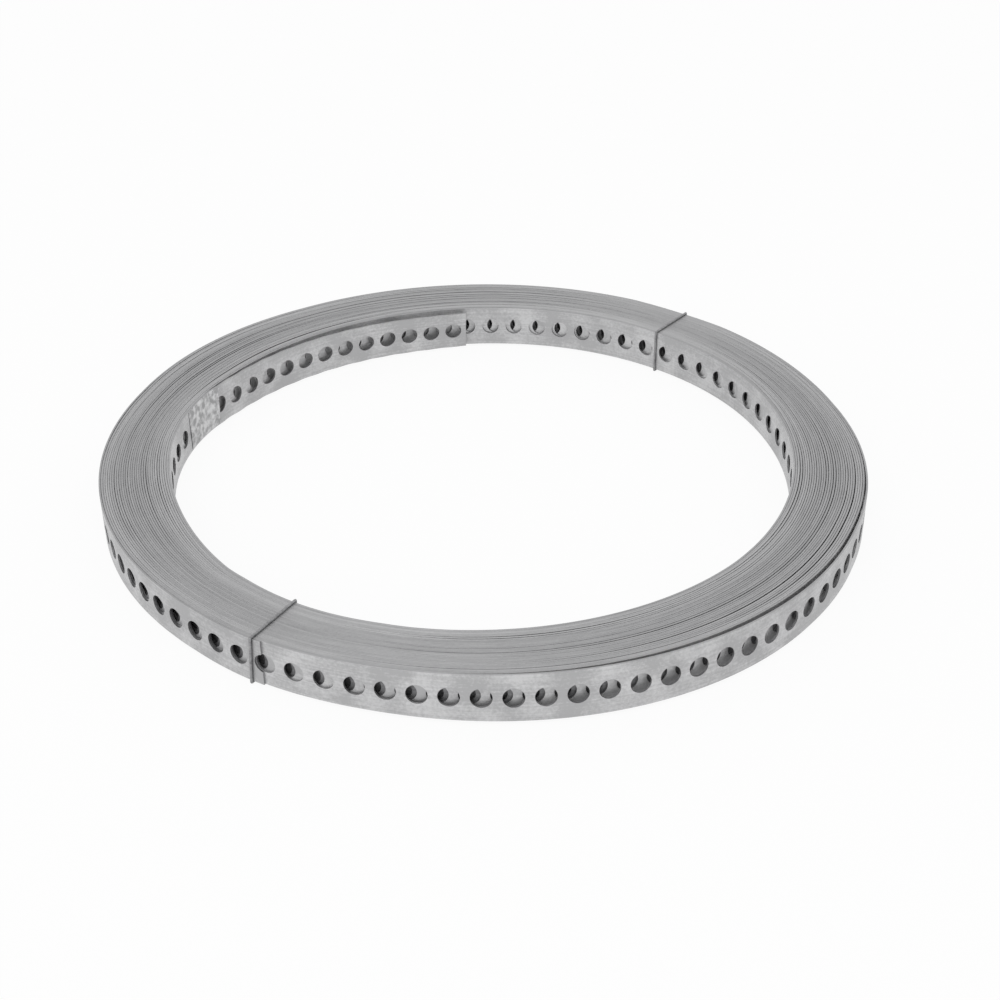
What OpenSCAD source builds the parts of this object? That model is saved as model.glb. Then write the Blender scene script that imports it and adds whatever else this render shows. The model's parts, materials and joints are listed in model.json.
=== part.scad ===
// Roll of perforated steel strap, lying flat and held by two wire ties.
//
// One strip is wound outwards and anticlockwise as a two-centre spiral: each half-turn is a
// true arc, and the next one starts where it ends, with its centre moved by half a turn's
// pitch. The wound turns are one solid, and the joints between them are grooves in its two
// end faces. The inner end springs into the bore, and the outermost turn stands loose
// between the ties on one side.
//
// Z = 0 is the floor, and X = Y = 0 is the middle of the roll's outline. The winding is drawn
// in a frame of its own, whose +X axis points at the outer end of the strap.

/* [Strap] */
// Width of the strap, which is the height of the wound turns
strap_w = 17; // [12:0.5:26]
// Thickness of the strap
strap_t = 0.75; // [0.6:0.05:1]
// Width of the eased corner along each edge of the strap
edge_ease = 0.15; // [0.05:0.01:0.2]
// Depth of the eased corner, and so of the groove between two turns
edge_depth = 0.4; // [0.2:0.05:1]

/* [Holes] */
// Diameter of the holes
hole_d = 7; // [3:0.5:8]
// Distance from one hole to the next along the strap
hole_pitch = 10; // [8.5:0.5:20]
// Distance from the outer end to the middle of the first hole, below 0 where the end cuts it
outer_end_to_hole = -1; // [-3:0.5:8]
// Distance from the cut inner end to the middle of the first hole
inner_end_to_hole = 5; // [0:0.5:8]

/* [Roll] */
// Diameter of the bore
bore_d = 231; // [150:1:300]
// Number of full turns outside the innermost one
turns = 31; // [10:1:36]
// Air between one turn and the next
turn_air = 0.03; // [0.02:0.01:0.1]
// Direction of the outer end, anticlockwise from +X
end_angle = 240; // [190:1:260]
// How far the loose outermost turn stands off midway between the ties
loose_gap = 1.6; // [0.5:0.1:3]

/* [Inner end] */
// Turn from the outer end's direction back to where the inner end leaves the roll
tail_lift = 80; // [40:1:110]
// How much tighter the sprung inner end's radius is than the bore's
tail_curl = 6.5; // [2:0.5:15]
// Length of the sprung inner end
tail_length = 130; // [40:1:140]

/* [Wire ties] */
// Diameter of the tie wire
wire_d = 0.9; // [0.6:0.1:1.5]
// Slack between the wire and the strap
tie_slack = 0.05; // [0.02:0.01:0.2]
// Radius of the wire's bends, along the middle of the wire
tie_bend = 0.8; // [0.7:0.1:2]
// Distance along the roll from the outer end back to the front tie
tie_to_end = 5; // [2:0.5:15]
// Turn from the outer end's direction on to the rear tie, anticlockwise
tie_turn = 171.5; // [150:0.5:175]
// Times one end of the wire is wrapped round the other
wraps = 8; // [3:1:12]
// Length of the bare end that stands out of the wraps
wrap_stub = 2; // [0.5:0.5:5]
// Lean of the wraps away from the strap
wrap_lean = 12; // [8:1:30]

/* [Label] */
// Length of the paper label round the bore
label_length = 25; // [10:1:40]
// Height of the paper label
label_w = 16; // [8:0.5:16.5]
// Thickness of the paper label
label_t = 0.12; // [0.1:0.01:0.3]
// Gap between the label and the strap, filled by its glue
label_glue = 0.03; // [0.02:0.01:0.1]
// Distance from the lift of the inner end to the middle of the label, towards the end
label_from_lift = -3; // [-8:1:30]

/* [Hidden] */

round_fn = 360;
hole_fn = 48;
wire_fn = 24;
strap_colour = [0.74, 0.75, 0.76];
wire_colour = [0.4, 0.4, 0.41];
label_colour = [0.88, 0.87, 0.84];

turn_pitch = strap_t + turn_air;
last_half = 2 * turns;
coil_z = wire_d + tie_slack;

// The wraps lie a little closer than the wire's own thickness, so that they join. Their axis
// is far enough from the strap for the wraps to clear it.
wrap_r = 0.9 * wire_d;
wrap_step = 0.95 * wire_d;
wraps_off = tie_slack + 2 * wrap_r;

// Half-turns are counted from the innermost, 0. Even ones lie on the left of the winding
// frame's X axis, from -180 to 0 degrees, and odd ones on its right, from 0 to 180 degrees.
function half_r(k) = bore_d / 2 + k * turn_pitch / 2;
left_centre = [turn_pitch / 4, 0];
right_centre = [-turn_pitch / 4, 0];

// The two stretches of strap that stand free start midway in the air on either side of them,
// so their sections lie inside the section of the turn that they run on into.
free_shift = turn_air / 2;

// The loose turn is the last whole right half. Its arc passes through the same two points
// as a tight one would, but its centre is moved away from the roll's X axis.
loose_half = last_half - 1;
loose_centre = right_centre + [0, loose_gap];
loose_r = norm([half_r(loose_half) + free_shift, loose_gap]);
loose_dip = atan(loose_gap / half_r(loose_half));

// The sprung end's arc touches the innermost half-turn at the lift, and its root runs a
// little way into that half-turn.
tail_r = half_r(0) - tail_curl + free_shift;
tail_centre = left_centre + tail_curl * [cos(tail_lift), -sin(tail_lift)];
tail_sweep = tail_length / tail_r * 180 / PI;
tail_root = 0.5;

// The turn behind the sprung end is drilled only where the end stands this far off it
drill_gap = 1;
drill_turn = acos(1 - drill_gap / tail_curl);

// Where the roll's outline reaches furthest in each direction
function turned(v, a) = [v.x * cos(a) - v.y * sin(a), v.x * sin(a) + v.y * cos(a)];
tight_out = turned(left_centre, end_angle);
loose_out = turned(loose_centre, end_angle);
tight_out_r = half_r(last_half) + strap_t;
loose_out_r = loose_r + strap_t;
outline_low = [tight_out.x - tight_out_r, loose_out.y - loose_out_r];
outline_high = [loose_out.x + loose_out_r, tight_out.y + tight_out_r];
outline_middle = (outline_low + outline_high) / 2;

// A hole is cut a little deeper than the strap, so that its curved faces are cut through
hole_past = free_shift + hole_d * hole_d / (4 * bore_d);

// Stretches of strap whose face shows, as [centre, radius, start angle, swept angle]
outer_face = [
    [left_centre, half_r(last_half), 0, -180],
    [loose_centre, loose_r, 180 + loose_dip, -180 - 2 * loose_dip],
];
inner_face = [
    [tail_centre, tail_r, -tail_lift - tail_sweep, tail_sweep],
    [left_centre, half_r(0), -tail_lift, tail_lift],
    [right_centre, half_r(1), 0, 180],
    [left_centre, half_r(2), -180, 180 - tail_lift - drill_turn],
];

function arc_length(arc) = (arc[1] + strap_t / 2) * abs(arc[3]) * PI / 180;
function face_length(arcs, i = 0) =
    i == len(arcs) ? 0 : arc_length(arcs[i]) + face_length(arcs, i + 1);

// The place s along a face, as [centre, radius, angle]
function place(arcs, s, i = 0) =
    i < len(arcs) - 1 && s > arc_length(arcs[i])
        ? place(arcs, s - arc_length(arcs[i]), i + 1)
        : [arcs[i][0], arcs[i][1], arcs[i][2] + arcs[i][3] * s / arc_length(arcs[i])];

// Puts its children in the winding frame onto the row's own place and direction
module winding_frame() {
    translate([-outline_middle.x, -outline_middle.y, coil_z])
        rotate([0, 0, end_angle])
            children();
}

// Section of turns lying side by side, outwards from radius r
module turn_section(r, count) {
    function width(i) = i < count - 1 ? turn_pitch : strap_t;
    crest = [for (i = [0:count - 1], x = [r + i * turn_pitch]) each [
        [x, strap_w - edge_depth],
        [x + edge_ease, strap_w],
        [x + width(i) - edge_ease, strap_w],
    ]];
    last = [r + (count - 1) * turn_pitch + strap_t, strap_w - edge_depth];
    top = [each crest, last];
    bottom = [for (i = [len(top) - 1:-1:0]) [top[i].x, strap_w - top[i].y]];
    polygon([each top, each bottom]);
}

// Turns lying side by side, wound about one centre from one angle to another
module wound(centre, r, count, from, to) {
    translate([centre.x, centre.y, 0])
        rotate_extrude(start = from, angle = to - from, $fn = round_fn)
            turn_section(r, count);
}

module loose_turn() {
    size = 3 * loose_r;
    intersection() {
        wound(loose_centre, loose_r, 1, 0, 360);
        translate([-size / 2, 0, -strap_w])
            cube([size, size, 3 * strap_w]);
    }
}

module holes(arcs, first) {
    for (s = [first:hole_pitch:face_length(arcs)])
        let (at = place(arcs, s))
            translate([at[0].x, at[0].y, strap_w / 2])
                rotate([0, 0, at[2]])
                    translate([at[1] - hole_past, 0, 0])
                        rotate([0, 90, 0])
                            cylinder(d = hole_d, h = strap_t + 2 * hole_past, $fn = hole_fn);
}

module strap_coil() {
    color(strap_colour)
        winding_frame()
            difference() {
                union() {
                    wound(left_centre, half_r(2), turns, -180, -tail_lift);
                    wound(left_centre, half_r(0), turns + 1, -tail_lift, 0);
                    wound(right_centre, half_r(1), turns - 1, 0, 180);
                    loose_turn();
                    wound(tail_centre, tail_r, 1, -tail_lift - tail_sweep, -tail_lift + tail_root);
                }
                holes(outer_face, outer_end_to_hole);
                holes(inner_face, inner_end_to_hole);
            }
}

// A closed loop of wire round a section of the roll, in the XZ plane from radius low to high.
// Its width is a round number, so that its pieces meet end to end.
module tie_loop(low, high) {
    off = tie_slack + wire_d / 2;
    wide = round(100 * (high - low + 2 * off)) / 100;
    tall = strap_w + 2 * off;
    translate([low - off, 0, -off]) {
        for (x = [0, wide])
            translate([x, 0, tie_bend])
                cylinder(d = wire_d, h = tall - 2 * tie_bend, $fn = wire_fn);
        for (z = [0, tall])
            translate([tie_bend, 0, z])
                rotate([0, 90, 0])
                    cylinder(d = wire_d, h = wide - 2 * tie_bend, $fn = wire_fn);
        tie_corner([tie_bend, tie_bend], 180);
        tie_corner([wide - tie_bend, tie_bend], 270);
        tie_corner([wide - tie_bend, tall - tie_bend], 0);
        tie_corner([tie_bend, tall - tie_bend], 90);
    }
}

// A quarter bend of wire about a middle in the XZ plane
module tie_corner(middle, from) {
    translate([middle.x, 0, middle.y])
        rotate([90, 0, 0])
            rotate_extrude(start = from, angle = 90, $fn = wire_fn)
                translate([tie_bend, 0])
                    circle(d = wire_d, $fn = wire_fn);
}

// One end of the wire wrapped round the other along +Y, the wraps drawn as rings
module tie_wraps() {
    wrapped = wraps * wrap_step;
    rotate([-90, 0, 0])
        rotate_extrude($fn = wire_fn) {
            square([wrap_r, wrapped]);
            square([wire_d / 2, wrapped + wrap_stub]);
            for (along = [wrap_step / 2:wrap_step:wrapped])
                translate([wrap_r, along])
                    circle(d = wire_d, $fn = wire_fn);
        }
}

// A tie whose wrapped ends lie at radius wraps_at, leaning by lean from the roll's tangent
module wire_tie(centre, angle, low, high, wraps_at, lean) {
    color(wire_colour)
        winding_frame()
            translate([centre.x, centre.y, 0])
                rotate([0, 0, angle]) {
                    tie_loop(low, high);
                    translate([wraps_at, -wire_d, strap_w / 2])
                        rotate([0, 0, lean])
                            tie_wraps();
                }
}

module wire_tie_front() {
    low = half_r(0);
    high = half_r(last_half) + strap_t;
    back = tie_to_end / high * 180 / PI;
    wire_tie(left_centre, -back, low, high, low - wraps_off, wrap_lean);
}

module wire_tie_rear() {
    low = half_r(1);
    high = loose_r + strap_t + loose_gap * sin(tie_turn);
    wire_tie(right_centre, tie_turn, low, high, high + wraps_off, -wrap_lean);
}

module label() {
    out_r = tail_r - label_glue;
    middle = -tail_lift - label_from_lift / tail_r * 180 / PI;
    sweep = label_length / out_r * 180 / PI;
    color(label_colour)
        winding_frame()
            translate([tail_centre.x, tail_centre.y, (strap_w - label_w) / 2])
                rotate_extrude(start = middle - sweep / 2, angle = sweep, $fn = round_fn)
                    translate([out_r - label_t, 0])
                        square([label_t, label_w]);
}

strap_coil();
wire_tie_front();
wire_tie_rear();
label();
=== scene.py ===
"""Looks of the roll of perforated steel strap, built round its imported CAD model.

Sizes of the roll are in millimetres until a mesh is made. Those in the materials and of the
stage and light are in metres. Directions round the roll are in degrees from +X, anticlockwise
as seen from above. Along the winding they go on past 360, so that each place along the strap
has a direction of its own.
"""

import json
import math

import bpy
import numpy as np
from mathutils import Matrix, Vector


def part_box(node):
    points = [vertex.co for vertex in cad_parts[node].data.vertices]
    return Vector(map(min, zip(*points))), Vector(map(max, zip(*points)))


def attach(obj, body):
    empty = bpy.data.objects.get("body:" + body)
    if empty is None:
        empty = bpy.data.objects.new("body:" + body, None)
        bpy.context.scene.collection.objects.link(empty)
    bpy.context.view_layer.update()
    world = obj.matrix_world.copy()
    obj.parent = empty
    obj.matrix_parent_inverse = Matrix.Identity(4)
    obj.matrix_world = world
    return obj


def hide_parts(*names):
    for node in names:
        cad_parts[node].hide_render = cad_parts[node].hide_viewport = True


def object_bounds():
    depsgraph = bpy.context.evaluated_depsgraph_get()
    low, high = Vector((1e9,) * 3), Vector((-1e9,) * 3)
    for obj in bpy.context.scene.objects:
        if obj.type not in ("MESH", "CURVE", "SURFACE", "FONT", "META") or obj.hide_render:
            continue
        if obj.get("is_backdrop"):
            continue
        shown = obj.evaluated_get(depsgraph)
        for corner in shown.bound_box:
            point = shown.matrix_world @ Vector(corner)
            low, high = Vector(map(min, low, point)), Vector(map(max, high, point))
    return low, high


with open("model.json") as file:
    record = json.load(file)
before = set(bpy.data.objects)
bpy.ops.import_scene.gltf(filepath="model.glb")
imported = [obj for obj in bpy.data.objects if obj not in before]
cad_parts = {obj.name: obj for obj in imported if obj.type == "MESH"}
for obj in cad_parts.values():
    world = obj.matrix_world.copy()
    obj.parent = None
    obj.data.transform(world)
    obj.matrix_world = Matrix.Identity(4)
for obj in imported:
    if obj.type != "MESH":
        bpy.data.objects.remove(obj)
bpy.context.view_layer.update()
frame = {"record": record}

MM = 0.001
rng = np.random.default_rng(7)

# ---------------------------------------------------------------- sizes of the strap
coil_low, coil_high = (np.array(v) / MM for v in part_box("strap_coil"))
STRAP_Z = coil_low[2]
STRAP_W = coil_high[2] - coil_low[2]
STRAP_T = 0.7
EDGE = 0.07
HOLE_D = 7.0
HOLE_PITCH = 10.0

# ---------------------------------------------------------------- sizes of the winding
# Directions of the strap's inner end, of the place where it leaves the roll, and of its outer
# end. The last turn starts under the outer end
INNER_END = 94.2
LIFT = 160.0
OUTER_END = 240.2
TURNS = 31
LAST_TURN = OUTER_END + 360 * (TURNS - 1)

# Directions of the ties, and in how many steps each turn of the winding is worked out
FRONT_TIE = 238.3
REAR_TIE = 51.4
STEPS = 720

# The roll isn't quite round: mean radius, then waves as (number round the roll, size, crest)
OUTER_R = 139.65
OUTER_WAVES = ((1, 0.6, 164), (2, 1.8, 138), (3, 0.7, 73), (4, 0.2, 48))
BORE_R = 115.45
BORE_WAVES = ((1, 1.1, 203), (2, 0.4, 72), (3, 0.5, 61))

# and what is pushed in or out over a short way, as (from, to, size)
OUTER_DENTS = ((124, 162, 0.9), (335, 372, 0.8), (44, 62, -0.7))
BORE_DENTS = ((150, 178, 0.9), (178, 224, -2.0), (228, 254, 1.4), (254, 316, -0.8))

# The sprung inner end: how far its tip stands off the roll, how far it bends back towards the
# roll from one direction on, how far its tip leans, and how far it bulges into the bore at its
# holes
TAIL_OFF = 4.0
TAIL_OFF_POWER = 1.05
TAIL_BACK = 1.5
TAIL_BACK_POWER = 1.5
TAIL_BACK_FROM = 106.0
TAIL_LEAN = 3.4
TAIL_RIPPLE = 0.3
TAIL_RIPPLE_GROWS = 5.0
TAIL_HOLE = 155.7
TAIL_HOLES_APART = 5.34

# How far the lower edge of the loose turn leans out, and from where to where
LOOSE_LEAN = 1.3
LOOSE_LEAN_FROM, LOOSE_LEAN_TO = 247.0, 320.0

# Gaps wider than the rest: (turn above, width, from, to). The last is under the loose turn
WIDE_GAPS = (
    (5, 0.6, 95, 172),
    (15, 0.35, 100, 185),
    (16, 0.25, 105, 190),
    (21, 0.3, 120, 190),
    (31, 0.45, 140, 192),
    (5, 0.25, 245, 320),
    (6, 0.2, 240, 300),
    (17, 0.4, 250, 350),
    (23, 0.35, 262, 362),
    (26, 0.4, 285, 370),
    (30, 1.3, 250, 366),
)

# The air between the turns: the least that there is in all, the largest share of it that the
# wide gaps take, how unevenly the rest is shared out, and how far from the strap's two ends it
# reaches its full width
LEAST_AIR = 0.15
WIDE_SHARE = 0.8
AIR_EVEN = 0.4
AIR_UNEVEN = 0.9
AIR_WAVE = 70
AIR_GROWS_INNER, AIR_GROWS_OUTER = 90, 60

# Slow changes along the strap, as (spacing, size): of its height, which the ties level over
# some way round them, and of its tone
HEIGHT_WAVES = ((60, 0.10), (900, 0.10))
TIE_LEVELS = 25
TONE_MIDDLE = 0.5
TONE_WAVES = ((50, 0.25), (1100, 0.3))

# ---------------------------------------------------------------- the winding
step_deg = 360 / STEPS
theta = np.arange(INNER_END, OUTER_END + 360 * TURNS + step_deg / 2, step_deg)
psi = np.round(theta, 6) % 360
wound = np.nonzero(theta >= LIFT + 360)[0]
tail = theta < LIFT


def smooth_noise(spacing, size):
    """Smooth seeded noise along the strap, with a new value every spacing degrees."""
    x = (theta - theta[0]) / spacing
    values = rng.uniform(-size, size, int(x[-1]) + 3)
    i = x.astype(int)
    f = x - i
    f = f * f * (3 - 2 * f)
    return values[i] * (1 - f) + values[i + 1] * f


def share(low, high):
    """0 up to low along the strap, 1 from high on, and even between them. Low may be past high."""
    return np.clip((theta - low) / (high - low), 0, 1)


def waves(parts):
    """The sum of waves round the roll, each given by its number round it, size and crest."""
    return sum(size * np.cos(np.radians(n * (psi - crest))) for n, size, crest in parts)


def dents(parts):
    """The sum of what is pushed in or out, each given by where it starts and ends and its size."""
    ways = [(((psi - low) % 360) / (high - low), size) for low, high, size in parts]
    return sum(size * np.sin(np.pi * np.clip(way, 0, 1)) for way, size in ways)


def one_step(start):
    """The step of one strap's thickness in a rim, where an end of the strap lies."""
    return STRAP_T * (((psi - start) % 360) / 360 - 0.5)


def over_turns(values):
    """Sums values of the wound turns in each direction."""
    total = np.zeros(STEPS)
    np.add.at(total, wound % STEPS, values[wound])
    return total[np.arange(len(theta)) % STEPS]


outer = OUTER_R + waves(OUTER_WAVES) + dents(OUTER_DENTS) + one_step(OUTER_END)
inner = BORE_R + waves(BORE_WAVES) + dents(BORE_DENTS) + one_step(LIFT)
layers = np.where((psi >= LIFT) & (psi < OUTER_END), TURNS + 1, TURNS)
room = outer - inner - STRAP_T * layers
short = np.maximum(0, LEAST_AIR - room)
inner = inner - short / 2
room = room + short

# The air in each direction goes to the wide gaps first, and the rest is shared out
wide = np.zeros(len(theta))
for turn, width, low, high in WIDE_GAPS:
    wide += width * np.sin(np.pi * share(low + 360 * turn, high + 360 * turn)) ** 2
wide *= np.minimum(1, WIDE_SHARE * room / np.maximum(over_turns(wide), 1e-6))
weight = AIR_EVEN + AIR_UNEVEN * smooth_noise(AIR_WAVE, 1) ** 2
weight *= share(LIFT + 360, LIFT + 360 + AIR_GROWS_INNER)
weight *= share(theta[-1], theta[-1] - AIR_GROWS_OUTER)
gap = wide + (room - over_turns(wide)) * weight / np.maximum(over_turns(weight), 1e-6)

# Radius of the strap's inner face all along it
r_in = inner.copy()
r_in[tail] -= STRAP_T
r_in -= TAIL_OFF * share(LIFT, INNER_END) ** TAIL_OFF_POWER
r_in += TAIL_BACK * share(TAIL_BACK_FROM, INNER_END) ** TAIL_BACK_POWER
ripple = np.cos(np.pi * (theta - TAIL_HOLE) / TAIL_HOLES_APART) ** 2
r_in -= TAIL_RIPPLE * ripple * share(LIFT, LIFT - TAIL_RIPPLE_GROWS)
for i in wound:
    r_in[i] = r_in[i - STEPS] + STRAP_T + gap[i]

# How far the strap's lower edge stands further out than its upper edge. The loose turn leans
# about its upper edge, and the sprung end about its middle
loose = share(LOOSE_LEAN_FROM + 360 * (TURNS - 1), LOOSE_LEAN_TO + 360 * (TURNS - 1))
loose = LOOSE_LEAN * np.sin(np.pi * loose)
lean = TAIL_LEAN * share(LIFT, INNER_END) + loose
r_in += loose / 2

# The ties hold the turns level. Between them each lies a little higher or lower
held = np.minimum(*(np.abs((psi - tie + 180) % 360 - 180) for tie in (FRONT_TIE, REAR_TIE)))
held = np.clip(held / TIE_LEVELS, 0, 1)
lift_z = sum(smooth_noise(*wave) for wave in HEIGHT_WAVES) * held
tone = TONE_MIDDLE + sum(smooth_noise(*wave) for wave in TONE_WAVES)

# Distance along the strap, which is 0 at its outer end and below 0 everywhere else
stretch = np.hypot(np.diff(r_in), (r_in[1:] + STRAP_T / 2) * np.radians(step_deg))
along = np.concatenate([[0], np.cumsum(stretch)])
along -= along[-1]


def place(s, depth, height):
    """Points at distance s along the strap, depth out from its inner face, height up its width."""
    t = np.radians(np.interp(s, along, theta))
    r = np.interp(s, along, r_in) + depth + np.interp(s, along, lean) * (0.5 - height / STRAP_W)
    z = np.interp(s, along, lift_z) + height + STRAP_Z
    return np.stack([r * np.cos(t), r * np.sin(t), z], -1)


# ---------------------------------------------------------------- the holes
# Each hole is drawn in a square block with sides of BLOCK, and FINE or COARSE cells each way.
# The outer end of the strap is cut through a hole whose middle would lie END_HOLE past the cut.
# The cut goes through corner CUT of that hole's rim, counted from the side that is missing.
BLOCK = 8.0
FINE, COARSE = 8, 4
CUT = 9
END_HOLE = 0.683

# Directions along the winding at which the middle of a hole lies. The outermost turn has its
# holes where the record's mounts are. From FRONT_FROM to FRONT_TO, counted back from the outer
# end, the first and the second turn under it have theirs a little further back.
TAIL_HOLES = (97.0, TAIL_HOLE)
INNER_TURN_HOLES = (363.5, 448.8, 519.05)
SECOND_TURN_HOLES = (740.5, 802.9)
UNDER_END_HOLE = LAST_TURN - 20.8
FRONT_FROM, FRONT_TO = 240, 358
FURTHER_BACK = (1.45, 2.1)

hole_marks = [*TAIL_HOLES, *INNER_TURN_HOLES, *SECOND_TURN_HOLES, UNDER_END_HOLE]
for mount in frame["record"]["mounts"]:
    if mount["kind"] == "bore":
        x, y, _ = mount["pos_m"]
        back = (OUTER_END - math.degrees(math.atan2(y, x))) % 360
        hole_marks.append(theta[-1] - back)
        if FRONT_FROM < back < FRONT_TO:
            for under, further in enumerate(FURTHER_BACK, 1):
                hole_marks.append(theta[-1] - back - 360 * under - further)
marks = np.append(np.interp(np.sort(hole_marks), theta, along), END_HOLE)
holes = [marks[0]]
for low, high in zip(marks[:-1], marks[1:]):
    count = round((high - low) / HOLE_PITCH)
    holes += np.linspace(low, high, count + 1)[1:].tolist()
holes = np.array(holes)

# ---------------------------------------------------------------- meshes
SMOOTH_BELOW = math.radians(30)

# Materials of a piece of strap: its two faces, its slit edges and ends, its holes' walls
FACE, SLIT, WALL = 0, 1, 2
MIDDLE = STRAP_W / 2


def new_object(
    name, verts, faces, materials, node, index=None, uv=None, tones=None, layout=None
):
    """A piece of the roll, in the place of a CAD node. Its vertices and uv are in millimetres."""
    mesh = bpy.data.meshes.new(name)
    mesh.from_pydata((np.asarray(verts) * MM).tolist(), [], faces)
    for m in materials:
        mesh.materials.append(m)
    if index is not None:
        mesh.polygons.foreach_set("material_index", np.asarray(index, np.int32))
    if uv is not None:
        layer = mesh.uv_layers.new(name="strap")
        corner = np.zeros(len(mesh.loops), np.int32)
        mesh.loops.foreach_get("vertex_index", corner)
        layer.data.foreach_set("uv", (np.asarray(uv)[corner] * MM).astype(np.float32).ravel())
    if tones is not None:
        layer = mesh.attributes.new("tone", "FLOAT", "POINT")
        layer.data.foreach_set("value", np.asarray(tones, np.float32))
    if layout is not None:
        layer = mesh.uv_layers.new(name="OFBake")
        layer.data.foreach_set("uv", np.asarray(layout, np.float32).ravel())
    mesh.shade_smooth()
    mesh.set_sharp_from_angle(angle=SMOOTH_BELOW)
    obj = bpy.data.objects.new(name, mesh)
    bpy.context.scene.collection.objects.link(obj)
    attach(obj, "root")
    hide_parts(node)
    return obj


def block_rim(cells):
    """(column, row) of each point round a block, from the middle of the side further along."""
    half = cells // 2
    rim = [(cells, half + i) for i in range(half)]
    rim += [(cells - i, cells) for i in range(cells)]
    rim += [(0, cells - i) for i in range(cells)]
    rim += [(i, 0) for i in range(cells)]
    rim += [(cells, i) for i in range(half)]
    return rim


def only_used(faces, *values):
    """The faces and the vertices' values, without the vertices that no face has."""
    used = np.unique(np.fromiter((i for face in faces for i in face), int))
    new = np.full(len(values[0]), -1)
    new[used] = np.arange(len(used))
    new = new.tolist()
    return [tuple(new[i] for i in face) for face in faces], *(value[used] for value in values)


def drilled_strip(s_from, s_to, cells):
    """A run of strap with its holes, each in a square block of cells by cells faces.

    The hole whose middle lies past s_to is cut open there.
    """
    # One ring of points round the strap's section, up its inner face and down its outer face
    cell, n, sides = BLOCK / cells, cells + 3, 4 * cells
    ring = 2 * n + 4
    levels = [EDGE, *(MIDDLE - BLOCK / 2 + cell * np.arange(cells + 1)), STRAP_W - EDGE]
    ring_height = np.array([*levels, STRAP_W, STRAP_W, *levels[::-1], 0, 0])
    ring_depth = [0] * n + [EDGE, STRAP_T - EDGE] + [STRAP_T] * n + [STRAP_T - EDGE, EDGE]
    face_rows = (0, n - 2, n + 2, 2 * n)
    block_rows = (*range(1, n - 2), *range(n + 3, 2 * n))
    rim = block_rim(cells)

    # A ring lies at both ends of the run and at each column of points of each block
    here = holes[(holes > s_from) & (holes - BLOCK / 2 < s_to)]
    columns, first, in_block = [s_from], {}, set()
    for h in here:
        first[h] = len(columns)
        whole = h + BLOCK / 2 < s_to
        across = cells if whole else rim[CUT][0]
        columns += (h - BLOCK / 2 + cell * np.arange(across + 1 if whole else across)).tolist()
        in_block.update(range(first[h], first[h] + across))
    columns.append(s_to)

    # The strap from ring to ring, with the blocks left open, and the end where the run starts
    k = len(columns)
    s = [np.repeat(columns, ring)]
    depth, height = [np.tile(ring_depth, k)], [np.tile(ring_height, k)]
    faces, index = [], []
    for i in range(k - 1):
        for j in range(ring):
            if i in in_block and j in block_rows:
                continue
            a, b = i * ring + j, i * ring + (j + 1) % ring
            faces.append((a, b, b + ring, a + ring))
            index.append(FACE if j in face_rows or j in block_rows else SLIT)
    faces.append(tuple(range(ring - 1, -1, -1)))
    index.append(SLIT)

    # In each block the two faces round the hole, and the hole's wall. Where the hole is cut, the
    # end has one part above it and one below
    angle = np.arange(sides) * 2 * np.pi / sides
    at, end = k * ring, (k - 1) * ring
    for h, c in first.items():
        for d in (0, STRAP_T):
            s.append(h + HOLE_D / 2 * np.cos(angle))
            depth.append(np.full(sides, d))
            height.append(MIDDLE + HOLE_D / 2 * np.sin(angle))
        whole = h + BLOCK / 2 < s_to
        for i in range(sides) if whole else range(CUT, sides - CUT):
            j = (i + 1) % sides
            (ca, la), (cb, lb) = rim[i], rim[j]
            ia, ib = (c + ca) * ring + la + 1, (c + cb) * ring + lb + 1
            oa, ob = (c + ca) * ring + 2 * n - la, (c + cb) * ring + 2 * n - lb
            faces.append((ib, ia, at + i, at + j))
            faces.append((oa, ob, at + sides + j, at + sides + i))
            faces.append((at + j, at + i, at + sides + i, at + sides + j))
            index += [FACE, FACE, WALL]
        if not whole:
            top = [end + j for j in range(n - 2, n + 4)] + [at + sides + CUT, at + CUT]
            low = [end + j % ring for j in range(2 * n, ring + 2)]
            low += [at + sides - CUT, at + 2 * sides - CUT]
            faces += [tuple(top), tuple(low)]
            index += [SLIT, SLIT]
        at += 2 * sides
    if whole:
        faces.append(tuple(range(end, end + ring)))
        index.append(SLIT)

    s, depth, height = np.concatenate(s), np.concatenate(depth), np.concatenate(height)
    faces, s, depth, height = only_used(faces, s, depth, height)
    return s, depth, height, faces, index


# Sizes on the map for baking: between two rows, before the strap in each row, before and after
# it in all, and from an end of the strap to the drawing of that end
MAP_GAP = 1.2
MAP_START = 3.0
MAP_SPARE = 15.0
MAP_TO_END = 1.5
# A hole's wall is drawn as a ring, whose inner radius is this share of its outer one
MAP_RING = 0.72
# A face that is shorter than this along the strap is one of its ends
END_BELOW = 0.01


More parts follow.
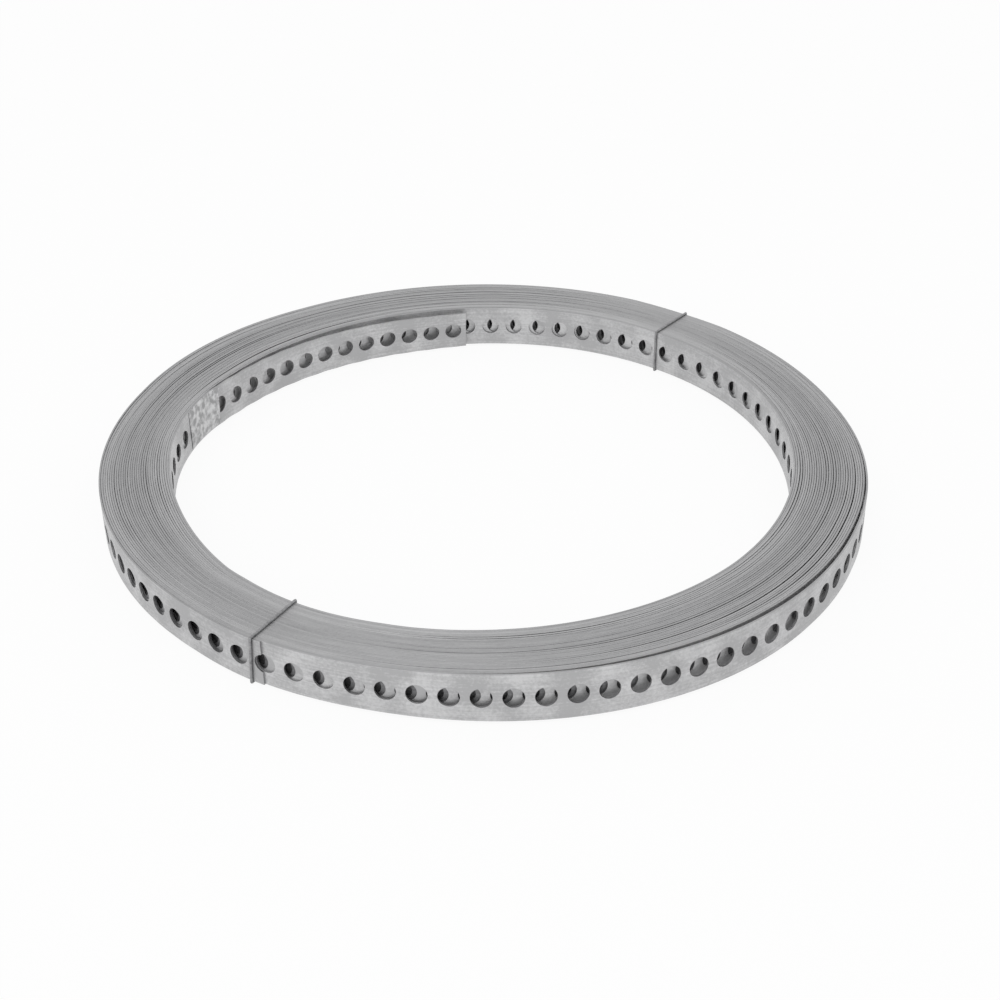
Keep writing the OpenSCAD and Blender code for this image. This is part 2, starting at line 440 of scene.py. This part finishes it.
def bake_layout(s, depth, height, faces, index, s_from, s_to):
    """Where each corner of each face lies on the map for baking.

    The strap is unrolled, opened along one edge and laid in rows across a square. The wall of
    each hole is laid as a ring inside that hole.
    """
    flat, slope, top = STRAP_W - 2 * EDGE, EDGE * math.sqrt(2), STRAP_T - 2 * EDGE
    around = 2 * (flat + 2 * slope + top)
    outer_from = flat + 2 * slope + top
    sizes = np.array([len(face) for face in faces])
    vertex = np.concatenate([np.array(face) for face in faces])
    face_of = np.repeat(np.arange(len(faces)), sizes)
    starts = np.concatenate([[0], np.cumsum(sizes)[:-1]])
    s, depth, height = s[vertex], depth[vertex], height[vertex]

    # The wall of a hole is drawn round the middle of the hole that it belongs to
    wall = (np.array(index) == WALL)[face_of]
    middle = (np.add.reduceat(s, starts) / sizes)[face_of]
    hole = holes[np.abs(holes[:, None] - np.unique(middle[wall])).argmin(0)]
    hole = hole[np.unique(middle[wall], return_inverse=True)[1]]
    shrink = np.where(depth[wall] < STRAP_T / 2, MAP_RING, 1)
    across = s.copy()
    across[wall] = hole + (s[wall] - hole) * shrink
    level = height.copy()
    level[wall] = MIDDLE + (height[wall] - MIDDLE) * shrink

    # Round the section: up the inner face, over the top, down the outer face, under the bottom
    up = level - EDGE
    down = outer_from + STRAP_W - EDGE - level
    on_top = flat + slope + depth - EDGE
    on_bottom = outer_from + flat + slope + STRAP_T - EDGE - depth
    at = np.select(
        [wall, depth < EDGE / 2, depth > STRAP_T - EDGE / 2, height > MIDDLE],
        [down, up, down, on_top], on_bottom,
    )
    low = np.minimum.reduceat(at, starts)[face_of]
    high = np.maximum.reduceat(at, starts)[face_of]
    at = np.where((high - low > around / 2) & (at < around / 2) & ~wall, at + around, at)

    # The ends of the strap are drawn past it
    near = np.minimum.reduceat(s, starts)[face_of]
    far = np.maximum.reduceat(s, starts)[face_of]
    is_end = far - near < END_BELOW
    off = MAP_TO_END + depth
    off = np.where(near > (s_from + s_to) / 2, off, -off)
    across = np.where(is_end, s + off, across)
    at = np.where(is_end, height, at)

    rows = math.ceil(math.sqrt((s_to - s_from) / (around + MAP_GAP)))
    length = (s_to - s_from) / rows
    row = np.minimum(((near - s_from) / length).astype(int), rows - 1)
    side = max(length + MAP_SPARE, rows * (around + MAP_GAP))
    u = across - s_from + MAP_START - row * length
    v = at + MAP_GAP / 2 + row * (around + MAP_GAP)
    return np.stack([v, u], -1) / side


# ---------------------------------------------------------------- materials
class Shader:
    """A material with a Principled shader, and short ways to add nodes to it."""

    def __init__(self, name):
        self.material = bpy.data.materials.new(name)
        self.material.use_nodes = True
        self.nodes = self.material.node_tree.nodes
        self.links = self.material.node_tree.links
        self.bsdf = self.nodes["Principled BSDF"]

    def add(self, kind, **values):
        node = self.nodes.new("ShaderNode" + kind)
        for key, value in values.items():
            if hasattr(node, key):
                setattr(node, key, value)
            else:
                node.inputs[key].default_value = value
        return node

    def set(self, socket, value):
        self.bsdf.inputs[socket].default_value = value

    def feed(self, socket, output):
        self.links.new(output, self.bsdf.inputs[socket])

    def math(self, operation, *inputs):
        node = self.add("Math", operation=operation)
        for socket, value in zip(node.inputs, inputs):
            if isinstance(value, (int, float)):
                socket.default_value = value
            else:
                self.links.new(value, socket)
        return node.outputs[0]

    def noise(self, coords, scale, stretch=(1, 1, 1), detail=3, roughness=0.5):
        """Noise with scale features to the metre, and stretch times as many along each axis."""
        mapping = self.add("Mapping", Scale=stretch)
        self.links.new(coords, mapping.inputs["Vector"])
        node = self.add("TexNoise", Scale=scale, Detail=detail, Roughness=roughness)
        self.links.new(mapping.outputs["Vector"], node.inputs["Vector"])
        return node.outputs["Fac"]

    def rough(self, value, least, change):
        """Roughness from least up, by change times the value."""
        self.feed("Roughness", self.math("MULTIPLY_ADD", value, change, least))

    def ramp(self, value, *stops):
        """A grey for each value. Stops are (value, grey), and a grey has a trace of blue."""
        node = self.add("ValToRGB")
        self.links.new(value, node.inputs["Fac"])
        elements = node.color_ramp.elements
        while len(elements) < len(stops):
            elements.new(0.5)
        for element, (position, level) in zip(elements, stops):
            element.position = position
            element.color = (level, level, level + TRACE_OF_BLUE, 1)
        return node.outputs["Color"]

    def bump(self, height, strength, distance):
        node = self.add("Bump", Strength=strength, Distance=distance)
        self.links.new(height, node.inputs["Height"])
        self.feed("Normal", node.outputs["Normal"])


TRACE_OF_BLUE = 0.005

# The steel's grey: how many clouds, grains and drawn lines there are to the metre, and the
# weight of each in the grey's value, to which an offset is added. Then the weight of the
# strap's own tone, and the values at which the grey is darkest and lightest
CLOUDS = 70
GRAIN = 900
DRAWN_LINES = (25, 1500, 1)
CLOUD_SHARE, GRAIN_SHARE, DRAWN_SHARE = 0.55, 0.35, 0.20
VALUE_OFFSET = -0.10
FACE_TONE, SLIT_TONE = 0.10, 0.45
FACE_ENDS, SLIT_ENDS = (0.39, 0.55), (0.15, 0.75)


def steel(name, dark, light, tone_share=FACE_TONE, ends=FACE_ENDS):
    """Zinc-coated steel strap: broad cloudy patches, a fine grain and faint drawn lines."""
    sh = Shader(name)
    uv = sh.add("UVMap", uv_map="strap").outputs["UV"]
    tone_value = sh.add("Attribute", attribute_name="tone").outputs["Fac"]
    cloud = sh.noise(uv, CLOUDS)
    grain = sh.noise(uv, GRAIN, detail=4, roughness=0.65)
    drawn = sh.noise(uv, 1, stretch=DRAWN_LINES, detail=2)
    value = sh.math("MULTIPLY_ADD", cloud, CLOUD_SHARE, VALUE_OFFSET)
    value = sh.math("MULTIPLY_ADD", grain, GRAIN_SHARE, value)
    value = sh.math("MULTIPLY_ADD", drawn, DRAWN_SHARE, value)
    tone_off = sh.math("SUBTRACT", tone_value, TONE_MIDDLE)
    value = sh.math("MULTIPLY_ADD", tone_off, tone_share, value)
    sh.feed("Base Color", sh.ramp(value, (ends[0], dark), (ends[1], light)))
    sh.rough(cloud, least=0.32, change=0.25)
    sh.set("Metallic", 0.7)
    sh.bump(grain, strength=0.3, distance=0.00006)
    return sh.material


def wire():
    """Annealed wire: dull dark steel with small spots."""
    sh = Shader("annealed_wire")
    coords = sh.add("TexCoord").outputs["Object"]
    spots = sh.noise(coords, GRAIN, detail=4, roughness=0.6)
    sh.feed("Base Color", sh.ramp(spots, (0.3, 0.18), (0.7, 0.38)))
    sh.rough(spots, least=0.35, change=0.3)
    sh.set("Metallic", 0.6)
    sh.bump(spots, strength=0.4, distance=0.00004)
    return sh.material


def paper():
    """Pale paper with grey blots and fine fibres."""
    sh = Shader("label_paper")
    coords = sh.add("TexCoord").outputs["Object"]
    blots = sh.noise(coords, 420, detail=2, roughness=0.55)
    fibres = sh.noise(coords, 2500)
    sh.feed("Base Color", sh.ramp(blots, (0.38, 0.36), (0.50, 0.56), (0.62, 0.72)))
    sh.rough(fibres, least=0.6, change=0.2)
    sh.bump(fibres, strength=0.3, distance=0.00005)
    return sh.material


# The faces of the turns inside the roll show only through gaps and holes, and their steel is
# darkened with painted shade, as they lie in the other turns' shade
face_steel = steel("galvanised_face", dark=0.42, light=0.60)
# The slit edges and ends are darker partly as raw sheared steel and partly with painted shade,
# which darkens the top of the roll against its faces
raw_edge_and_shade_steel = steel("slit_edge_and_shade", dark=0.28, light=0.46, tone_share=SLIT_TONE, ends=SLIT_ENDS)
painted_shade_steel = steel("painted_shade_face", dark=0.13, light=0.24)
# The holes' walls are darker partly as raw punched steel and partly with painted shade, which
# darkens the rings round the holes
wall_and_shade_steel = steel("punched_wall_and_shade", dark=0.22, light=0.38)
wire_material = wire()
paper_material = paper()

# ---------------------------------------------------------------- the strap
# It is cut into pieces midway between two holes, about so many turns along from the lift
CUT_TURNS = (4, 12, 20, 29)
STRAP_PIECES = (
    ("strap_inner_turns", FINE, face_steel),
    # The low, middle and high turns have steel darkened with painted shade
    ("strap_low_turns", COARSE, painted_shade_steel),
    ("strap_middle_turns", COARSE, painted_shade_steel),
    ("strap_high_turns", COARSE, painted_shade_steel),
    ("strap_outer_turns", FINE, face_steel),
)


def between_holes(turn):
    """The place midway between two holes that is about so many turns along from the lift."""
    at = np.interp(LIFT + 360 * turn, theta, along)
    return (holes[holes < at][-1] + holes[holes >= at][0]) / 2


cuts = [along[0], *(between_holes(turn) for turn in CUT_TURNS), along[-1]]
for (name, cells, face), s_from, s_to in zip(STRAP_PIECES, cuts[:-1], cuts[1:]):
    s, depth, height, faces, index = drilled_strip(s_from, s_to, cells)
    new_object(
        name, place(s, depth, height), faces, [face, raw_edge_and_shade_steel, wall_and_shade_steel],
        "strap_coil", index,
        uv=np.stack([s, height + depth], -1),
        tones=np.interp(s, along, tone),
        layout=bake_layout(s, depth, height, faces, index, s_from, s_to),
    )

# ---------------------------------------------------------------- the wire ties
WIRE_R = 0.45
WIRE_SIDES = 12
WIRE_STEP = 0.22
WIRE_BEND = 0.66
SLACK = 0.05

# One end is wrapped round the other, which stands out past the wraps by STUB
WRAPS = 8
WRAP_R = 0.9
WRAP_STEP = 0.94
WRAP_POINTS = 16
WRAPS_FROM = 0.5
STUB = 2.2
LEAN = math.radians(12)

# The front tie is drawn a little on from its mean place, and leans across the strap
FRONT_TIE_ON = 0.25
FRONT_TIE_TILT = 0.5


def face_radius(direction, outside):
    """Radius of the roll's bore, or of its outside, in one direction."""
    turn = direction if direction >= LIFT else direction + 360
    if outside:
        turn += 360 * int((theta[-1] - turn) / 360)
    return float(np.interp(turn, theta, r_in)) + (STRAP_T if outside else 0)


def rounded(points, step, window):
    """The line through the points, in even steps and with its corners rounded."""
    points = np.array(points, float)
    reach = np.concatenate([[0], np.cumsum(np.linalg.norm(np.diff(points, axis=0), axis=1))])
    at = np.linspace(0, reach[-1], int(reach[-1] / step))
    line = np.stack([np.interp(at, reach, points[:, i]) for i in range(3)], -1)
    half = int(window / step / 2)
    for _ in range(2):
        padded = np.concatenate([line[:1]] * half + [line] + [line[-1:]] * half)
        total = np.cumsum(np.concatenate([np.zeros((1, 3)), padded]), axis=0)
        line = (total[2 * half + 1:] - total[: -2 * half - 1]) / (2 * half + 1)
    return line


def tube(line, radius, sides):
    """Rings round a line, with its ends closed by bevelled caps."""
    along_line = np.gradient(line, axis=0)
    along_line /= np.linalg.norm(along_line, axis=1)[:, None]
    side = np.cross(along_line[0], (0.3, 0.5, 0.8))
    rings = []
    angle = np.arange(sides) * 2 * np.pi / sides
    for forward in along_line:
        side = side - forward * (side @ forward)
        side /= np.linalg.norm(side)
        other = np.cross(forward, side)
        rings.append(np.outer(np.cos(angle), side) + np.outer(np.sin(angle), other))
    rings = np.array(rings)
    verts = line[:, None, :] + radius * rings
    cap_r, cap_off = 0.6 * radius, 0.3 * radius
    start = line[0] + cap_r * rings[0] - cap_off * along_line[0]
    finish = line[-1] + cap_r * rings[-1] + cap_off * along_line[-1]
    verts = np.concatenate([start[None], verts, finish[None]])
    faces = []
    for i in range(len(verts) - 1):
        for j in range(sides):
            a, b = i * sides + j, i * sides + (j + 1) % sides
            faces.append((a, b, b + sides, a + sides))
    last_ring = (len(verts) - 1) * sides
    faces += [tuple(range(sides - 1, -1, -1)), tuple(range(last_ring, last_ring + sides))]
    return verts.reshape(-1, 3), faces


def wire_tie(name, node, direction, wraps_outside, tilt):
    """A wire round the section of the roll, with one end wrapped round the other.

    Its direction round the roll changes by tilt degrees from the bottom of the strap to the top.
    """
    inside, outside = face_radius(direction, False), face_radius(direction, True)
    off = SLACK + WIRE_R
    near, far = (outside + off, inside - off) if wraps_outside else (inside - off, outside + off)
    away = 1 if wraps_outside else -1
    low, high, mid = -off, STRAP_W + off, STRAP_W / 2
    core = near + away * (WRAP_R + SLACK)
    forward = np.array([away * math.sin(LEAN), math.cos(LEAN), 0])
    up = np.array([0, 0, 1.0])
    across = np.cross(forward, up)
    # From the tip of the stub back through the wraps, down and round the roll, and then round
    # the stub in wraps
    start = np.array([core, 0.6, mid])
    points = [start + forward * (WRAPS * WRAP_STEP + STUB), start + forward * 0.4]
    points += [(near, -0.2, mid - 1.4), (near, 0, low), (far, 0, low), (far, 0, high)]
    points += [(near, 0, high), (near, 0, mid + 2.6)]
    for turn in np.linspace(0, WRAPS, WRAP_POINTS * WRAPS + 1):
        angle = 2 * math.pi * turn
        ring = math.cos(angle) * up - away * math.sin(angle) * across
        points.append(start + forward * (WRAPS_FROM + WRAP_STEP * turn) + WRAP_R * ring)
    line = rounded(points, WIRE_STEP, WIRE_BEND)
    d = np.radians(direction + tilt * (line[:, 2] / STRAP_W - 0.5))
    turned = np.stack([
        line[:, 0] * np.cos(d) - line[:, 1] * np.sin(d),
        line[:, 0] * np.sin(d) + line[:, 1] * np.cos(d),
        np.clip(line[:, 2], low, high) + STRAP_Z,
    ], -1)
    verts, faces = tube(turned, WIRE_R, WIRE_SIDES)
    return new_object(name, verts, faces, [wire_material], node)


wire_tie("front_tie", "wire_tie_front", FRONT_TIE + FRONT_TIE_ON, False, FRONT_TIE_TILT)
wire_tie("rear_tie", "wire_tie_rear", REAR_TIE, True, 0)

# ---------------------------------------------------------------- the label
LABEL_FROM, LABEL_TO = 156.2, 167.2
LABEL_LOW, LABEL_HIGH = 0.6, 17.0
LABEL_T = 0.12
LABEL_COLUMNS, LABEL_ROWS = 90, 60

# Its creases: how many, how wide in shares of its height, how far they lift it off the strap
# at most and at least, and how far they move it up and down
CREASES = 26
CREASE_WIDE = 0.12
CREASE_LIFT = 0.75
LEAST_LIFT = 0.04
CREASE_SHIFT = 0.25
# It is this many times as long as it is high. Nearer to its edge than this share of its
# height it lies flatter, down to a lift of EDGE_LIFT times the full one
LABEL_SHAPE = 1.5
EDGE_SHARE, EDGE_LIFT = 0.06, 0.35


def sheet_faces(columns, rows):
    """Faces of a thin closed sheet. Its points are those of one side, and then of the other."""
    n = columns * rows
    faces = []
    for i in range(columns - 1):
        for j in range(rows - 1):
            p = i * rows + j
            faces.append((p, p + 1, p + rows + 1, p + rows))
            faces.append((n + p, n + p + rows, n + p + rows + 1, n + p + 1))
    outline = [i * rows for i in range(columns)]
    outline += [(columns - 1) * rows + j for j in range(1, rows)]
    outline += [i * rows + rows - 1 for i in range(columns - 2, -1, -1)]
    outline += [j for j in range(rows - 2, 0, -1)]
    for p, q in zip(outline, outline[1:] + outline[:1]):
        faces.append((p, q, n + q, n + p))
    return faces


def label():
    """A crumpled paper label stuck to the innermost turn."""
    columns, rows = LABEL_COLUMNS, LABEL_ROWS
    u, v = np.meshgrid(np.linspace(0, 1, columns), np.linspace(0, 1, rows), indexing="ij")
    crease = np.zeros_like(u)
    for _ in range(CREASES):
        angle, at = rng.uniform(0, np.pi), rng.uniform(-0.2, 1.2)
        across = (u - 0.5) * LABEL_SHAPE * math.cos(angle) + (v - 0.5) * math.sin(angle) + 0.5
        crease += rng.uniform(0.3, 1) * np.maximum(0, 1 - np.abs(across - at) / CREASE_WIDE)
    crease = crease / crease.max()
    edge = np.minimum(np.minimum(u, 1 - u) * LABEL_SHAPE, np.minimum(v, 1 - v))
    off = LEAST_LIFT + CREASE_LIFT * crease * np.clip(edge / EDGE_SHARE, EDGE_LIFT, 1)
    a = LABEL_FROM + (LABEL_TO - LABEL_FROM) * u
    t = np.radians(a)
    height = LABEL_LOW + (LABEL_HIGH - LABEL_LOW) * v + CREASE_SHIFT * (crease - 0.5)
    base = np.interp(a, theta, r_in) + np.interp(a, theta, lean) * (0.5 - height / STRAP_W)
    verts = []
    for depth in (off, off + LABEL_T):
        r = base - depth
        side = np.stack([r * np.cos(t), r * np.sin(t), height + STRAP_Z], -1)
        verts.append(side.reshape(-1, 3))
    verts, faces = np.concatenate(verts), sheet_faces(columns, rows)
    return new_object("paper_label", verts, faces, [paper_material], "label")


label()

# ---------------------------------------------------------------- camera
# It stands DISTANCE from the middle of the roll, at the level of the strap's lower edge, and
# looks down by ELEVATION. Then it is moved across its view by EYE_RIGHT and EYE_UP and straight
# up by EYE_RAISE, and turned by ROLL
SENSOR = 36
LENS = 58.9082
DISTANCE = 617.667
ELEVATION = math.radians(32.26763)
ROLL = math.radians(-0.57501)
EYE_RIGHT, EYE_UP = 5.7798, -6.6466
EYE_RAISE = -0.2

back = np.array([0, -math.cos(ELEVATION), math.sin(ELEVATION)])
right = np.array([1.0, 0, 0])
up = np.cross(back, right)
eye = back * DISTANCE + right * EYE_RIGHT + up * EYE_UP
eye[2] += STRAP_Z + EYE_RAISE
camera_x = math.cos(ROLL) * right + math.sin(ROLL) * up
camera_y = -math.sin(ROLL) * right + math.cos(ROLL) * up

camera_data = bpy.data.cameras.new("camera")
camera_data.sensor_width = SENSOR
camera_data.lens = LENS
camera = bpy.data.objects.new("camera", camera_data)
turned = np.eye(4)
turned[:3] = np.stack([camera_x, camera_y, back, eye * MM], -1)
camera.matrix_world = Matrix(turned.tolist())
bpy.context.scene.collection.objects.link(camera)
bpy.context.scene.camera = camera
bpy.context.scene.view_settings.view_transform = "Standard"

# ---------------------------------------------------------------- stage and light
FILL = 0.85
WORLD_SHARE = 1.0
FLOOR_SHARE = 0.92
FLOOR_GREY = 0.85
FLOOR_HALF = 6.0
KEY_ENERGY = 7
KEY_SIZE = 1.2
KEY_PLACE = (-0.5, -1.3, 1.1)


def shown_white(nodes, links, lit, white, share, output):
    """Camera, glossy and transmission rays see a share of plain white, and the rest as lit."""
    path = nodes.new("ShaderNodeLightPath")
    seen = path.outputs["Is Camera Ray"]
    for ray in ("Is Glossy Ray", "Is Transmission Ray"):
        either = nodes.new("ShaderNodeMath")
        either.operation = "MAXIMUM"
        links.new(seen, either.inputs[0])
        links.new(path.outputs[ray], either.inputs[1])
        seen = either.outputs[0]
    part = nodes.new("ShaderNodeMath")
    part.operation = "MULTIPLY"
    part.inputs[1].default_value = share
    links.new(seen, part.inputs[0])
    mix = nodes.new("ShaderNodeMixShader")
    links.new(part.outputs[0], mix.inputs[0])
    links.new(lit, mix.inputs[1])
    links.new(white, mix.inputs[2])
    links.new(mix.outputs[0], output)


world = bpy.data.worlds.new("world")
bpy.context.scene.world = world
world.use_nodes = True
nodes, links = world.node_tree.nodes, world.node_tree.links
fill = nodes["Background"]
fill.inputs["Color"].default_value = (1, 1, 1, 1)
fill.inputs["Strength"].default_value = FILL
white = nodes.new("ShaderNodeBackground")
white.inputs["Color"].default_value = (1, 1, 1, 1)
white.inputs["Strength"].default_value = 1.0
shown_white(
    nodes, links, fill.outputs[0], white.outputs[0], WORLD_SHARE,
    nodes["World Output"].inputs["Surface"],
)

floor_mesh = bpy.data.meshes.new("floor")
corners = [(-1, -1), (1, -1), (1, 1), (-1, 1)]
corners = [(x * FLOOR_HALF, y * FLOOR_HALF, 0) for x, y in corners]
floor_mesh.from_pydata(corners, [], [(0, 1, 2, 3)])
floor = bpy.data.objects.new("floor", floor_mesh)
bpy.context.scene.collection.objects.link(floor)
sh = Shader("floor")
sh.set("Base Color", (FLOOR_GREY, FLOOR_GREY, FLOOR_GREY, 1))
sh.set("Roughness", 1.0)
sh.set("Specular IOR Level", 0.0)
glow = sh.add("Emission", Strength=1.0)
shown_white(
    sh.nodes, sh.links, sh.bsdf.outputs[0], glow.outputs[0], FLOOR_SHARE,
    sh.nodes["Material Output"].inputs["Surface"],
)
floor_mesh.materials.append(sh.material)
floor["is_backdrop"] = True

key_data = bpy.data.lights.new("key", "AREA")
key_data.energy = KEY_ENERGY
key_data.size = KEY_SIZE
key = bpy.data.objects.new("key", key_data)
key.location = KEY_PLACE
key.rotation_euler = (-key.location).to_track_quat("-Z", "Y").to_euler()
bpy.context.scene.collection.objects.link(key)

low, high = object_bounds()
